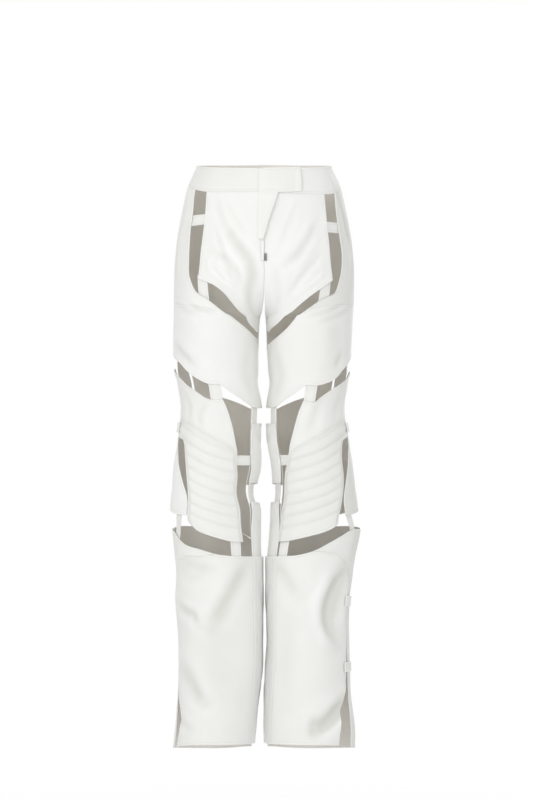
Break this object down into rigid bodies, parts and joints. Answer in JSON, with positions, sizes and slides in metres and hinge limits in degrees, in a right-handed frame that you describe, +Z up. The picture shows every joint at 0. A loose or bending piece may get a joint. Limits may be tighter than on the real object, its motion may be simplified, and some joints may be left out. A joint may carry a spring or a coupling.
{
  "type": "biker pants",
  "caption": "Off-white leather biker trousers of separate panels joined by short straps, with ribbed knee pads, open hip, knee and calf cut-outs and a lapped fly.",
  "frame": {"origin": "middle of the waistband's ring, at half its height, where the wearer holds the trousers up", "axes": "+Z up the body, -Y towards the front, +X towards the wearer's left"},
  "size_m": [0.3473, 0.231, 1.0861],
  "materials": {
    "leather": "matte, smooth off-white grain",
    "metal": "dull dark nickel"
  },
  "bodies": {
    "root": {"calf_back_left": "leather", "calf_back_right": "leather", "calf_front_left": "leather", "calf_front_right": "leather", "calf_inner_left": "leather", "calf_inner_right": "leather", "calf_strap_front_left": "leather", "calf_strap_front_right": "leather", "calf_strap_outer_left": "leather", "calf_strap_outer_right": "leather", "calf_yoke_left": "leather", "calf_yoke_right": "leather", "fly_flap": "leather", "fly_placket": "leather", "groin_strap_left": "leather", "groin_strap_right": "leather", "hip_front_left": "leather", "hip_front_right": "leather", "hip_side_left": "leather", "hip_side_right": "leather", "hip_strap_left": "leather", "hip_strap_right": "leather", "inner_lower_left": "leather", "inner_lower_right": "leather", "inner_strap_middle_left": "leather", "inner_strap_middle_right": "leather", "inner_strap_top_left": "leather", "inner_strap_top_right": "leather", "inner_upper_left": "leather", "inner_upper_right": "leather", "knee_back_left": "leather", "knee_back_right": "leather", "knee_pad_left": "leather", "knee_pad_right": "leather", "knee_strap_back_left": "leather", "knee_strap_back_right": "leather", "knee_strap_front_left": "leather", "knee_strap_front_right": "leather", "knee_strap_outer_left": "leather", "knee_strap_outer_right": "leather", "knee_strap_side_left": "leather", "knee_strap_side_right": "leather", "knee_top_left": "leather", "knee_top_right": "leather", "pad_strap_inner_left": "leather", "pad_strap_inner_right": "leather", "seat_left": "leather", "seat_right": "leather", "slit_strap_lower_left": "leather", "slit_strap_lower_right": "leather", "slit_strap_upper_left": "leather", "slit_strap_upper_right": "leather", "thigh_back_left": "leather", "thigh_back_right": "leather", "thigh_front_left": "leather", "thigh_front_right": "leather", "waistband_back": "leather", "waistband_left": "leather", "waistband_right": "leather", "zip_stop": "metal"}
  },
  "joints": []
}
